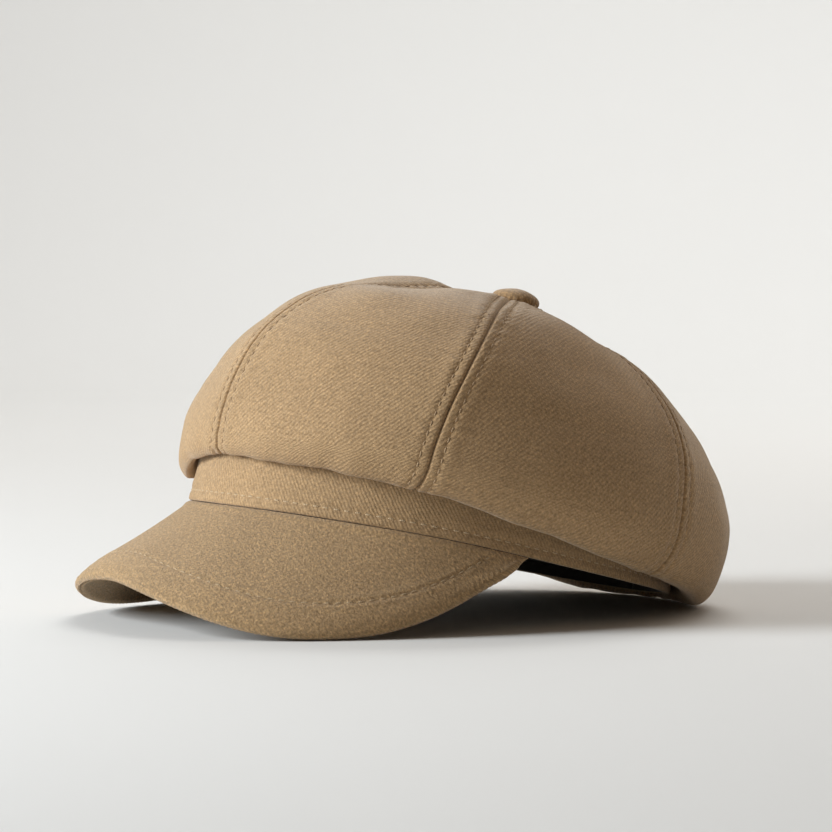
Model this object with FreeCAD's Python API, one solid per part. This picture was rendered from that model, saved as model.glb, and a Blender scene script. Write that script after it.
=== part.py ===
# Newsboy cap: six-gore crown over a headband, short curved visor, covered button.
# Frame: millimetres, +Z up, the cap lying at rest on a level surface at Z = 0.
# -Y is the front (the visor), +X is the wearer's left side.
# Cap-local coordinates used while modelling: origin at the centre of the head
# opening (the lower edge of the headband), z along the crown's axis; the cap
# leans back by LEAN_DEG because the visor props its front up.
import FreeCAD, Part
import math
import os

os.makedirs("parts", exist_ok=True)
V = FreeCAD.Vector

# ------------------------------------------------------------ driving dimensions
LEAN_DEG = 12.65        # backward lean of the cap as it lies on a table
OPENING_H = 25.2        # height of the head opening's centre above the table
SHIFT_Y = 10.69         # moves the model so the middle of its length is at Y = 0
SHIFT_Z = 0.55          # trims the lowest point to Z = 0

BAND_A = 102.0          # headband outer half length (front to back), lower edge
BAND_B = 86.0           # headband outer half width, lower edge
BAND_H = 32.0           # headband height
BAND_TAPER = 2.0        # the band leans in by this at its top
BAND_T = 1.6            # headband cloth
STIFF_T = 0.7           # buckram strip behind the band cloth
SWEAT_T = 1.2           # sweatband

CROWN_B = 106.0         # crown half width at its widest
CROWN_A = 114.2         # crown half length at its widest
CROWN_CY = 6.2          # the crown's widest ring sits this far behind the opening
APEX_Y = 17.0           # button behind the opening's centre
APEX_Z = 103.0          # crown height at the button, from the opening
CLOTH_T = 1.6           # crown cloth
GORE_GAP = 0.10         # half gap between neighbouring gores at a seam
GORE_FLAT = 3.5         # how far a gore's middle is flatter than the round crown
GORE_PUFF = 2.2         # how far a gore's middle puffs up around the button
SEAM_TOP = [0.0, 61.0, 118.0, 180.0, 242.0, 302.0, 360.0]   # seam bearings at the top
SEAM_LIP = [4.0, 55.6, 113.0, 180.0, 242.0, 302.0, 364.0]   # and at the crown's lip

LINING_T = 0.6
LINING_GAP = 5.6        # lining behind the crown's nominal surface

VISOR_HALF_ARC = 84.0   # the visor is sewn to the band over twice this bearing
VISOR_CLOTH_T = 1.3
VISOR_BOARD_T = 1.6
VISOR_GAP = 0.15
VISOR_INSET = 3.0       # board stops this far inside the rim

BUTTON_R = 9.8
BUTTON_H = 6.4
SHANK_R = 2.2
WASHER_R = 7.5

# profile of the crown from its widest ring up to the button seat:
# (share of the way out from the button, height above the opening)
FRONT = [(.13, 102.6), (.253, 102.8), (.386, 101.0), (.60, 96.0), (.735, 88.4),
         (.85, 76.2), (.925, 63.2), (.968, 50.5), (.993, 37.5), (1.0, 27.0)]
REAR = [(.13, 99.8), (.216, 96.2), (.363, 91.8), (.55, 84.2), (.675, 77.0),
        (.80, 66.8), (.895, 55.4), (.957, 44.2), (.99, 32.2), (1.0, 19.0)]
# lowest point of the overhanging lip against the bearing from the front
LIP = [(0, 18.6), (30, 18.2), (60, 17.2), (83, 10.5), (95, 7.2), (120, 3.0),
       (140, -0.6), (155, -2.6), (180, -0.4)]
DROOP = (-34.0, 20.0, 9.0)   # the front right gore sags: bearing, spread, depth
# the visor's rim, upper edge, from the centre line to the wearer's left end
RIM = [(0, -144.5, 19.4), (20, -144.2, 17.8), (40, -139.4, 13.4), (57, -129.2, 8.0),
       (71, -114.2, 3.4), (81.5, -95, 1.25), (88.0, -72, 1.9), (90.3, -50, 7.0),
       (90.0, -31, 15.4), (88.6, -18, 22.6), (87.2, -12, 26.2)]
VISOR_BULGE = 1.2       # the visor's upper side is this convex from band to rim
VISOR_DROOP = 1.0       # and its last part turns down by this much

# ------------------------------------------------------------ geometry functions
LEAN = math.radians(LEAN_DEG)
CL, SL = math.cos(LEAN), math.sin(LEAN)


def to_world(p):
    x, y, z = p
    return (x, y * CL + z * SL + SHIFT_Y, -y * SL + z * CL + OPENING_H + SHIFT_Z)


def interp(tab, x):
    if x <= tab[0][0]:
        return tab[0][1]
    for (x0, y0), (x1, y1) in zip(tab, tab[1:]):
        if x <= x1:
            return y0 + (y1 - y0) * (x - x0) / (x1 - x0)
    return tab[-1][1]


def lip_z(th):
    t = (th + 180.0) % 360.0 - 180.0
    z = 0.0
    for d, w in ((-12, .10), (-8, .12), (-4, .16), (0, .24), (4, .16), (8, .12), (12, .10)):
        x = abs(abs(t) + d)
        if x > 180:
            x = 360 - x
        z += w * interp(LIP, x)
    return z - DROOP[2] * math.exp(-((t - DROOP[0]) / DROOP[1]) ** 2)


def band_pt(th, z, off=0.0):
    t = math.radians(th)
    k = BAND_TAPER * z / BAND_H
    return ((BAND_B - k + off) * math.sin(t), -(BAND_A - k + off) * math.cos(t))


class Spline:
    """Natural cubic through points, by centripetal length; ev(i) takes a station index."""

    def __init__(self, pts):
        self.p = pts
        m = len(pts)
        s = [0.0]
        for a, b in zip(pts, pts[1:]):
            s.append(s[-1] + math.sqrt(math.dist(a, b)) + 1e-9)
        self.s = s
        h = [s[i + 1] - s[i] for i in range(m - 1)]
        self.h = h
        dim = len(pts[0])
        self.M = [[0.0] * dim for _ in range(m)]
        for c in range(dim):
            a = [0.0] * m
            b = [1.0] * m
            cc = [0.0] * m
            d = [0.0] * m
            for i in range(1, m - 1):
                a[i], b[i], cc[i] = h[i - 1], 2 * (h[i - 1] + h[i]), h[i]
                d[i] = 6 * ((pts[i + 1][c] - pts[i][c]) / h[i] - (pts[i][c] - pts[i - 1][c]) / h[i - 1])
            for i in range(1, m):
                w = a[i] / b[i - 1]
                b[i] -= w * cc[i - 1]
                d[i] -= w * d[i - 1]
            x = d[-1] / b[-1]
            self.M[-1][c] = x
            for i in range(m - 2, -1, -1):
                x = (d[i] - cc[i] * x) / b[i]
                self.M[i][c] = x

    def ev(self, k):
        i = int(min(max(math.floor(k), 0), len(self.p) - 2))
        f = k - i
        h, p, M = self.h[i], self.p, self.M
        a, b = 1 - f, f
        return tuple(a * p[i][c] + b * p[i + 1][c] + ((a ** 3 - a) * M[i][c] + (b ** 3 - b) * M[i + 1][c]) * h * h / 6
                     for c in range(len(p[0])))


def crown_stations(th):
    t = math.radians(th)
    s_, c_ = math.sin(t), math.cos(t)
    w = (1 + c_) / 2
    w = w * w * (3 - 2 * w)
    bx, by = band_pt(th, BAND_H)
    mx, my = CROWN_B * s_, CROWN_CY - CROWN_A * c_
    L = math.hypot(mx - bx, my - by)
    ex, ey = (mx - bx) / L, (my - by) / L
    zl = lip_z(th)
    rho = 0.5 * L
    zt = BAND_H + 0.8
    sb = 0.50 + 0.12 * (1 - w)
    out = []

    def add(d, z):
        out.append((bx + ex * d, by + ey * d, z))

    add(-1.4, zt)
    add(0.10 * L + 0.5, zt - 0.35 * min(4.0, zt - zl))
    add(0.135 * L + 0.55, (zt + zl + rho) / 2 + 0.8)
    add(0.17 * L + 0.45, zl + rho * 0.95)
    add(0.32 * L, zl + rho * 0.22)
    add(sb * L, zl)
    add((0.72 + 0.06 * (1 - w)) * L, zl + rho * 0.22)
    add(0.915 * L, zl + rho * 0.75)
    tab = [(w * f[0] + (1 - w) * r[0], w * f[1] + (1 - w) * r[1]) for f, r in zip(FRONT, REAR)]
    zm = max(tab[-1][1], zl + rho * 1.3)
    dx, dy = mx, my - APEX_Y
    for n, (q, z) in enumerate(reversed(tab)):
        out.append((dx * q, APEX_Y + dy * q, zm if n == 0 else z))
    dl = math.hypot(dx, dy)
    for r in (12.2, 7.0, 2.9):
        out.append((dx / dl * r, APEX_Y + dy / dl * r, APEX_Z))
    return out


N_ST = 21               # stations in one meridian
K_RING = 8              # the station at the widest ring
_cache = {}


def meridian(th):
    key = round(th % 360.0, 6)
    if key not in _cache:
        _cache[key] = Spline(crown_stations(key))
    return _cache[key]


def crown_base(th, k):
    return meridian(th).ev(k)


def sub(a, b):
    return (a[0] - b[0], a[1] - b[1], a[2] - b[2])


def cross(a, b):
    return (a[1] * b[2] - a[2] * b[1], a[2] * b[0] - a[0] * b[2], a[0] * b[1] - a[1] * b[0])


def unit(a):
    n = math.sqrt(a[0] ** 2 + a[1] ** 2 + a[2] ** 2)
    return (a[0] / n, a[1] / n, a[2] / n)


def crown_normal(th, k):
    """Outward normal of the round crown."""
    k0, k1 = max(0.0, k - 0.05), min(N_ST - 1.0, k + 0.05)
    dv = sub(crown_base(th, k1), crown_base(th, k0))
    du = sub(crown_base(th + 0.5, k), crown_base(th - 0.5, k))
    return unit(cross(du, dv))


def clamp(x):
    return min(1.0, max(0.0, x))


def seam_bearing(i, k):
    """Bearing of seam i at station k: it swings a little between lip and top."""
    w = clamp((k - 8.0) / 6.0)
    w = w * w * (3 - 2 * w)
    return SEAM_LIP[i] * (1 - w) + SEAM_TOP[i] * w


def gore_shift(u, k, p):
    """How far the cloth lies off the round crown, along its normal."""
    z = p[2]
    dome = clamp((k - K_RING) / 1.5)
    fl = 1 - (2 * u - 1) ** 2
    flat = clamp((z - 30) / 25) * clamp((100 - z) / 22) * dome
    rr = math.hypot(p[0], p[1] - APEX_Y)
    puff = math.exp(-((rr - 50) / 20.0) ** 2) * dome * clamp((z - 66) / 12)
    return -GORE_FLAT * flat * fl + GORE_PUFF * puff * math.sin(math.pi * u)


def crown_point(i, u, k, depth=0.0):
    """Point of gore i, in cap-local coordinates, depth below its outer surface."""
    th = seam_bearing(i, k) * (1 - u) + seam_bearing(i + 1, k) * u
    p = crown_base(th, k)
    n = crown_normal(th, k)
    d = gore_shift(u, k, p) - depth
    return (p[0] + n[0] * d, p[1] + n[1] * d, p[2] + n[2] * d)


# ------------------------------------------------------------ solids from point grids
def knots(n):
    """Clamped even knots for n control points of a cubic."""
    k = [float(i) for i in range(n - 2)]
    return k, [4] + [1] * (n - 4) + [4]


def face_of(grid):
    """Smooth cubic surface that the grid of points controls."""
    nu, nv = len(grid), len(grid[0])
    uk, um = knots(nu)
    vk, vm = knots(nv)
    s = Part.BSplineSurface()
    s.buildFromPolesMultsKnots([[V(*p) for p in row] for row in grid], um, vm, uk, vk, False, False, 3, 3)
    return s


def slab(outer, inner):
    """Closed solid between two grids of points of the same size."""
    so, si = face_of(outer), face_of(inner)
    fo, fi = so.toShape(), si.toShape()
    u0, u1, v0, v1 = so.bounds()
    a0, a1, b0, b1 = si.bounds()
    faces = [fo, fi]
    for co, ci in ((so.uIso(u0), si.uIso(a0)), (so.uIso(u1), si.uIso(a1)),
                   (so.vIso(v0), si.vIso(b0)), (so.vIso(v1), si.vIso(b1))):
        faces.append(Part.makeRuledSurface(co.toShape(), ci.toShape(), 1))
    sh = Part.Compound(faces)
    sh.sewShape(0.02)
    shell = sh.Shells[0] if sh.ShapeType != "Shell" else sh
    sol = Part.Solid(shell)
    if sol.Volume < 0:
        sol.reverse()
    return sol


def place(shape):
    """From cap-local coordinates to the frame of the lying cap."""
    s = shape.copy()
    s.Placement = FreeCAD.Placement(V(0, SHIFT_Y, OPENING_H + SHIFT_Z),
                                    FreeCAD.Rotation(V(1, 0, 0), -LEAN_DEG)).multiply(s.Placement)
    return s


made = {}


def keep(name, shape):
    ok = shape.isValid() and all(s.isClosed() for s in shape.Shells)
    print("%-26s volume %9.1f  valid %s" % (name, shape.Volume, ok))
    shape.exportStep("parts/%s.step" % name)
    made[name] = shape


# ------------------------------------------------------------ crown gores
GORES = ["front_left", "side_left", "rear_left", "rear_right", "side_right", "front_right"]
KS = [0, .5, 1, 1.5, 2, 3, 3.5, 4, 4.5, 5, 5.5, 6, 6.5, 7, 8, 9, 10, 11, 12, 13, 14, 15, 16, 17, 17.6, 18.2, 19, 20]
NU = 8


def gore_grid(i, depth, fn, ks):
    rows = []
    for n in range(NU + 1):
        row = []
        for k in ks:
            a, b = fn(i, 0.0, k, 0.0), fn(i, 1.0, k, 0.0)
            g = GORE_GAP / max(math.dist(a, b), 1.0)
            u = g + (1 - 2 * g) * n / NU
            row.append(to_world(fn(i, u, k, depth)))
        rows.append(row)
    return rows


for i, g in enumerate(GORES):
    keep("crown_panel_" + g, slab(gore_grid(i, 0.0, crown_point, KS), gore_grid(i, CLOTH_T, crown_point, KS)))


# ------------------------------------------------------------ lining gores
def lining_stations(th):
    st = crown_stations(th)
    out = []
    for off, z in ((-3.0, BAND_H + 1.0), (-2.7, BAND_H + 4.2), (-0.6, BAND_H + 8.0)):
        x, y = band_pt(th, BAND_H, off)
        out.append((x, y, z))
    for k in (11, 12, 13, 14, 15, 16, 17):
        p = st[k]
        n = crown_normal(th, k)
        out.append((p[0] - n[0] * LINING_GAP, p[1] - n[1] * LINING_GAP, p[2] - n[2] * LINING_GAP))
    for k in (18, 19, 20):
        p = st[k]
        out.append((p[0], p[1], APEX_Z - LINING_GAP))
    return out


_lin = {}


def lining_base(th, k):
    key = round(th % 360.0, 6)
    if key not in _lin:
        _lin[key] = Spline(lining_stations(key))
    return _lin[key].ev(k)


def lining_point(i, u, k, depth=0.0):
    kk = k + 8.0
    th = seam_bearing(i, kk) * (1 - u) + seam_bearing(i + 1, kk) * u
    p = lining_base(th, k)
    k0, k1 = max(0.0, k - 0.05), min(12.0, k + 0.05)
    dv = sub(lining_base(th, k1), lining_base(th, k0))
    du = sub(lining_base(th + 0.5, k), lining_base(th - 0.5, k))
    n = unit(cross(du, dv))
    z = p[2]
    fl = 1 - (2 * u - 1) ** 2
    flat = clamp((z - 34) / 25) * clamp((96 - z) / 22)
    d = -GORE_FLAT * 0.8 * flat * fl - depth
    return (p[0] + n[0] * d, p[1] + n[1] * d, p[2] + n[2] * d)


KL = [0, .5, 1, 1.5, 2, 3, 4, 5, 6, 7, 8, 9, 9.6, 10.2, 11, 12]
for i, g in enumerate(GORES):
    keep("lining_panel_" + g, slab(gore_grid(i, 0.0, lining_point, KL), gore_grid(i, LINING_T, lining_point, KL)))


# ------------------------------------------------------------ headband, stiffener, sweatband
def oval(off, z):
    k = BAND_TAPER * z / BAND_H
    e = Part.Ellipse(V(0, BAND_A - k + off, z), V(BAND_B - k + off, 0, z), V(0, 0, z))
    return Part.Wire([e.toShape()])


def ring(off, t, z0, z1):
    o = Part.makeLoft([oval(off, z0), oval(off, z1)], True, True)
    i = Part.makeLoft([oval(off - t, z0 - 1), oval(off - t, z1 + 1)], True, True)
    return o.cut(i)


keep("headband", place(ring(0.0, BAND_T, 0.0, BAND_H)))
keep("headband_buckram", place(ring(-BAND_T - 0.15, STIFF_T, 2.0, BAND_H - 1.0)))
SW_OFF = -BAND_T - STIFF_T - 0.4
keep("sweatband", place(ring(SW_OFF, SWEAT_T, 1.0, BAND_H - 0.2)))


# blank size label, sewn flat on the sweatband at the back
def strip(off, t, z0, z1, th0, th1, n=8):
    def g(o):
        return [[to_world(band_pt(th0 + (th1 - th0) * a / n, z0 + (z1 - z0) * b / 3, o) + (z0 + (z1 - z0) * b / 3,))
                 for b in range(4)] for a in range(n + 1)]
    return slab(g(off), g(off - t))


keep("size_label", strip(SW_OFF - SWEAT_T - 0.12, 0.45, 7.0, 25.0, 172.0, 188.0))

# ------------------------------------------------------------ visor
rim = Spline([(-x, y, z) for x, y, z in reversed(RIM[1:])] + [tuple(p) for p in RIM])
RIM_N = len(RIM) * 2 - 2
_len = [0.0]
for n in range(400):
    _len.append(_len[-1] + math.dist(rim.ev(RIM_N * n / 400), rim.ev(RIM_N * (n + 1) / 400)))


def rim_pt(s):
    """s from -1 (right end) to 1 (left end), even along the rim."""
    want = (s + 1) / 2 * _len[-1]
    lo, hi = 0, 400
    while hi - lo > 1:
        m = (lo + hi) // 2
        if _len[m] <= want:
            lo = m
        else:
            hi = m
    f = (want - _len[lo]) / max(_len[hi] - _len[lo], 1e-9)
    x, y, z = rim.ev(RIM_N * (lo + f) / 400)
    return (x, y + SHIFT_Y, z + SHIFT_Z)


def visor_top(s, t):
    x, y = band_pt(VISOR_HALF_ARC * s, 0.0, 0.15)
    a = to_world((x, y, -0.35))
    b = rim_pt(s)
    w = math.dist(a, b)
    k = min(1.0, w / 40.0)
    lift = VISOR_BULGE * 4 * t * (1 - t) * k + VISOR_DROOP * k * (t - t ** 6)
    # convexity is across the visor's own surface: up and outward
    ox, oy = a[0] / 120.0, 0.0
    return (a[0] + (b[0] - a[0]) * t + ox * lift, a[1] + (b[1] - a[1]) * t + oy * lift,
            a[2] + (b[2] - a[2]) * t + lift)


def visor_pt(s, t, depth):
    e = 0.01
    s0, s1 = max(-1, s - e), min(1, s + e)
    t0, t1 = max(0, t - e), min(1, t + e)
    n = unit(cross(sub(visor_top(s1, t), visor_top(s0, t)), sub(visor_top(s, t0), visor_top(s, t1))))
    if n[2] < 0:
        n = (-n[0], -n[1], -n[2])
    p = visor_top(s, t)
    return (p[0] - n[0] * depth, p[1] - n[1] * depth, p[2] - n[2] * depth)


def visor_layer(d0, d1, s_end, inset_in, inset_out):
    NS, NT = 36, 8

    def g(d):
        rows = []
        for a in range(NS + 1):
            s = -s_end + 2 * s_end * a / NS
            w = math.dist(visor_top(s, 0), visor_top(s, 1))
            t0, t1 = inset_in / w, 1 - inset_out / w
            rows.append([visor_pt(s, t0 + (t1 - t0) * b / NT, d) for b in range(NT + 1)])
        return rows
    return slab(g(d0), g(d1))


D1 = VISOR_CLOTH_T
D2 = D1 + VISOR_GAP
D3 = D2 + VISOR_BOARD_T
D4 = D3 + VISOR_GAP
D5 = D4 + VISOR_CLOTH_T
keep("visor_top_cloth", visor_layer(0.0, D1, 1.0, 0.0, 0.0))
keep("visor_board", visor_layer(D2, D3, 0.90, 1.0, VISOR_INSET))
keep("visor_under_cloth", visor_layer(D4, D5, 1.0, 0.0, 0.0))


# ------------------------------------------------------------ button, on the crown's axis
def spin(profile):
    w = Part.Wire(Part.makePolygon([V(r, 0, z) for r, z in profile + [profile[0]]]))
    return Part.Face(w).revolve(V(0, 0, 0), V(0, 0, 1), 360)


def dome(r, z0, z1, n, z_edge):
    pts = []
    for a in range(n + 1):
        t = math.pi / 2 * a / n
        pts.append((r * math.sin(t), z_edge + (z1 - z_edge) * math.cos(t)))
    return pts


def at_apex(shape):
    s = shape.copy()
    s.translate(V(0, APEX_Y, 0))
    return place(s)


ZB = APEX_Z + 0.4
RS, HS, TS = BUTTON_R - 1.0, BUTTON_H - 1.0, 0.5
outer = dome(RS, ZB + 1.0, ZB + HS, 10, ZB + 1.7)
inner = dome(RS - TS, 0, ZB + HS - TS, 10, ZB + 1.7)
shell = spin(outer + [(RS, ZB + 1.0), (RS - TS, ZB + 1.0)] + list(reversed(inner)))
keep("button_shell", at_apex(shell))
co = dome(BUTTON_R, 0, ZB + BUTTON_H, 12, ZB + 1.9)
ci = dome(RS + 0.05, 0, ZB + HS + 0.05, 12, ZB + 1.7)
cover = spin(co + [(BUTTON_R - 0.15, ZB + 0.9), (BUTTON_R - 0.9, ZB + 0.15), (6.4, ZB), (6.4, ZB + 0.9), (RS + 0.05, ZB + 0.95)]
             + list(reversed(ci)))
keep("button_cover", at_apex(cover))
ZW = APEX_Z - LINING_GAP - LINING_T - 0.4
shank = spin([(0, ZW - 1.4), (SHANK_R + 0.9, ZW - 1.4), (SHANK_R + 0.9, ZW - 1.05), (SHANK_R, ZW - 1.05), (SHANK_R, ZB + 0.3),
              (6.2, ZB + 0.3), (6.2, ZB + 0.9), (0, ZB + 0.9)])
keep("button_shank", at_apex(shank))
washer = spin([(SHANK_R + 0.03, ZW - 1.0), (WASHER_R, ZW - 1.0), (WASHER_R, ZW), (SHANK_R + 0.03, ZW)])
keep("button_washer", at_apex(washer))

lo, hi = [1e9] * 3, [-1e9] * 3
for n, s in made.items():
    b = s.BoundBox
    for c, (v, w) in enumerate(((b.XMin, b.XMax), (b.YMin, b.YMax), (b.ZMin, b.ZMax))):
        lo[c], hi[c] = min(lo[c], v), max(hi[c], w)
print("lowest", [round(v, 2) for v in lo], "highest", [round(v, 2) for v in hi])
print("middle of length", round((lo[1] + hi[1]) / 2, 2))
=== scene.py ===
"""Looks for the newsboy cap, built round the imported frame. Sizes are in millimetres until a mesh is made."""
import bpy
import math
import numpy as np
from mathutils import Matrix, Quaternion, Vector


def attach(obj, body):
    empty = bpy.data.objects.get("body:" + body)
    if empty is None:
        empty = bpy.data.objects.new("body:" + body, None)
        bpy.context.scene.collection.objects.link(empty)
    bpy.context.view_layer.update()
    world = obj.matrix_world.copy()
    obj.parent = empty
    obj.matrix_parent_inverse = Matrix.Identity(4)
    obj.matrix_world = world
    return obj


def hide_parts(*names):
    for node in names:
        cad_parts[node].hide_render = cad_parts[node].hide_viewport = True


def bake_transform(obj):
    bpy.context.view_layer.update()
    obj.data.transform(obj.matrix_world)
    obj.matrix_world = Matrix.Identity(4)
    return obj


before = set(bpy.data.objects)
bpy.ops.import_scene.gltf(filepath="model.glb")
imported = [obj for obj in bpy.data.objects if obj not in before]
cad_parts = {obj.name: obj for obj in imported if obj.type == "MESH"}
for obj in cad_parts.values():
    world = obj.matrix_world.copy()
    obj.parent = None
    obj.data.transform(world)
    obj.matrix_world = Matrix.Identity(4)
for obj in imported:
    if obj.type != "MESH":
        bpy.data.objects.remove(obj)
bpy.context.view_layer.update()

# ------------------------------------------------------------------ dimensions, as in the CAD source
LEAN_DEG, OPENING_H, SHIFT_Y, SHIFT_Z = 12.65, 25.2, 10.69, 0.55
BAND_A, BAND_B, BAND_H, BAND_TAPER, BAND_T = 102.0, 86.0, 32.0, 2.0, 1.6
CROWN_B, CROWN_A, CROWN_CY = 106.0, 114.2, 6.2
APEX_Y, APEX_Z, CLOTH_T = 17.0, 103.0, 1.6
GORE_FLAT, GORE_PUFF = 3.5, 2.2
SEAM_TOP = [0.0, 61.0, 118.0, 180.0, 242.0, 302.0, 360.0]
SEAM_LIP = [4.0, 55.6, 113.0, 180.0, 242.0, 302.0, 364.0]
LINING_T, LINING_GAP = 0.6, 5.6
VISOR_HALF_ARC, VISOR_CLOTH_T, VISOR_BOARD_T, VISOR_GAP = 86.3, 1.3, 1.6, 0.15
FRONT = [(.13, 102.6), (.253, 102.8), (.386, 101.0), (.60, 96.0), (.735, 88.4),
         (.85, 76.2), (.925, 63.2), (.968, 50.5), (.993, 37.5), (1.0, 27.0)]
REAR = [(.13, 99.8), (.216, 96.2), (.363, 91.8), (.55, 84.2), (.675, 77.0),
        (.80, 66.8), (.895, 55.4), (.957, 44.2), (.99, 32.2), (1.0, 19.0)]
LIP = [(0, 18.6), (30, 18.2), (60, 17.2), (83, 10.5), (95, 7.2), (120, 3.0),
       (140, -0.6), (155, -2.6), (180, -0.4)]
DROOP = (-34.0, 20.0, 9.0)
RIM = [(0, -144.5, 19.4), (20, -144.2, 17.8), (40, -139.4, 13.4), (57, -129.2, 8.0),
       (71, -114.2, 3.4), (81.5, -95, 1.25), (88.0, -72, 1.9), (90.3, -50, 7.0),
       (90.0, -31, 15.4), (88.6, -18, 22.6), (87.2, -12, 26.2)]
VISOR_BULGE, VISOR_DROOP = 0.4, 3.0

LEAN = math.radians(LEAN_DEG)
CL, SL = math.cos(LEAN), math.sin(LEAN)


def to_world(p):
    p = np.asarray(p, float)
    x, y, z = p[..., 0], p[..., 1], p[..., 2]
    return np.stack([x, y * CL + z * SL + SHIFT_Y, -y * SL + z * CL + OPENING_H + SHIFT_Z], -1)


def settle(P):
    """The soft edge flattens a little where it rests on the table."""
    P = np.array(P, float)
    z = P[..., 2]
    P[..., 2] = 0.5 * (z + np.sqrt(z * z + 0.5)) - 0.05
    return P


def turn(v):
    """A direction from cap-local to the frame."""
    v = np.asarray(v, float)
    x, y, z = v[..., 0], v[..., 1], v[..., 2]
    return np.stack([x, y * CL + z * SL, -y * SL + z * CL], -1)


def unit(v):
    return v / (np.linalg.norm(v, axis=-1, keepdims=True) + 1e-12)


def smooth(x, a=0.0, b=1.0):
    t = np.clip((np.asarray(x, float) - a) / (b - a), 0, 1)
    return t * t * (3 - 2 * t)


# ------------------------------------------------------------------ noise, the same each run
def _hash(ix, iy, iz, seed):
    m = 0xFFFFFFFF
    h = (ix * 374761393 + iy * 668265263 + iz * 2147483647 + seed * 1274126177) & m
    h = ((h ^ (h >> 13)) * 1274126177) & m
    h = h ^ (h >> 16)
    return h / 2147483647.5 - 1.0


def noise(p, seed=1):
    """Smooth noise from -1 to 1 at points (..., 3)."""
    p = np.asarray(p, float)
    i = np.floor(p).astype(np.int64)
    f = p - i
    f = f * f * f * (f * (f * 6 - 15) + 10)
    out = 0
    for a in (0, 1):
        for b in (0, 1):
            for c in (0, 1):
                w = (f[..., 0] if a else 1 - f[..., 0]) * (f[..., 1] if b else 1 - f[..., 1]) * (f[..., 2] if c else 1 - f[..., 2])
                out = out + w * _hash(i[..., 0] + a, i[..., 1] + b, i[..., 2] + c, seed)
    return out


def noise2(a, b, seed=1):
    a, b = np.broadcast_arrays(np.asarray(a, float), np.asarray(b, float))
    return noise(np.stack([a, b, np.full_like(a, 0.37)], -1), seed)


# ------------------------------------------------------------------ base shape of the crown
def lip_z(th):
    t = (np.asarray(th, float) + 180.0) % 360.0 - 180.0
    xs, ys = zip(*LIP)
    z = 0.0
    for d, w in ((-12, .10), (-8, .12), (-4, .16), (0, .24), (4, .16), (8, .12), (12, .10)):
        x = np.abs(np.abs(t) + d)
        x = np.where(x > 180, 360 - x, x)
        z = z + w * np.interp(x, xs, ys)
    return z - DROOP[2] * np.exp(-((t - DROOP[0]) / DROOP[1]) ** 2)


def band_pt(th, z, off=0.0):
    t = np.radians(th)
    k = BAND_TAPER * z / BAND_H
    return (BAND_B - k + off) * np.sin(t), -(BAND_A - k + off) * np.cos(t)


def crown_stations(th):
    """(n, 21, 3) points of the meridians at bearings th."""
    th = np.asarray(th, float)
    t = np.radians(th)
    s_, c_ = np.sin(t), np.cos(t)
    w = (1 + c_) / 2
    w = w * w * (3 - 2 * w)
    bx, by = band_pt(th, BAND_H)
    mx, my = CROWN_B * s_, CROWN_CY - CROWN_A * c_
    L = np.hypot(mx - bx, my - by)
    ex, ey = (mx - bx) / L, (my - by) / L
    zl = lip_z(th)
    rho = 0.5 * L
    zt = BAND_H + 0.8
    sb = 0.50 + 0.12 * (1 - w)
    out = []

    def add(d, z):
        d, z = d + 0 * bx, z + 0 * bx
        out.append(np.stack([bx + ex * d, by + ey * d, z], -1))

    add(-1.4, zt)
    add(0.10 * L + 0.5, zt - 0.35 * np.minimum(4.0, zt - zl))
    add(0.135 * L + 0.55, (zt + zl + rho) / 2 + 0.8)
    add(0.17 * L + 0.45, zl + rho * 0.95)
    add(0.32 * L, zl + rho * 0.22)
    add(sb * L, zl)
    add((0.72 + 0.06 * (1 - w)) * L, zl + rho * 0.22)
    add(0.915 * L, zl + rho * 0.75)
    dx, dy = mx, my - APEX_Y
    for n, (f, r) in enumerate(reversed(list(zip(FRONT, REAR)))):
        q = w * f[0] + (1 - w) * r[0]
        z = w * f[1] + (1 - w) * r[1]
        if n == 0:
            z = np.maximum(z, zl + rho * 1.3)
        out.append(np.stack([dx * q, APEX_Y + dy * q, z], -1))
    dl = np.hypot(dx, dy)
    for r in (12.2, 7.0, 2.9):
        out.append(np.stack([dx / dl * r, APEX_Y + dy / dl * r, np.full_like(dx, APEX_Z)], -1))
    return np.stack(out, 1)


def spline_many(P, kk):
    """Natural cubics by centripetal length through P (n, m, 3), at station indices kk (K,)."""
    n, m, _ = P.shape
    h = np.sqrt(np.linalg.norm(np.diff(P, axis=1), axis=-1)) + 1e-9
    b = np.ones((n, m))
    c = np.zeros((n, m))
    a = np.zeros((n, m))
    d = np.zeros((n, m, 3))
    for i in range(1, m - 1):
        a[:, i], b[:, i], c[:, i] = h[:, i - 1], 2 * (h[:, i - 1] + h[:, i]), h[:, i]
        d[:, i] = 6 * ((P[:, i + 1] - P[:, i]) / h[:, i, None] - (P[:, i] - P[:, i - 1]) / h[:, i - 1, None])
    for i in range(1, m):
        w = a[:, i] / b[:, i - 1]
        b[:, i] -= w * c[:, i - 1]
        d[:, i] -= w[:, None] * d[:, i - 1]
    M = np.zeros((n, m, 3))
    M[:, -1] = d[:, -1] / b[:, -1, None]
    for i in range(m - 2, -1, -1):
        M[:, i] = (d[:, i] - c[:, i, None] * M[:, i + 1]) / b[:, i, None]
    i = np.clip(np.floor(kk).astype(int), 0, m - 2)
    f = (kk - i)[None, :, None]
    hh = h[:, i][:, :, None]
    e = 1 - f
    return e * P[:, i] + f * P[:, i + 1] + ((e ** 3 - e) * M[:, i] + (f ** 3 - f) * M[:, i + 1]) * hh * hh / 6


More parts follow.
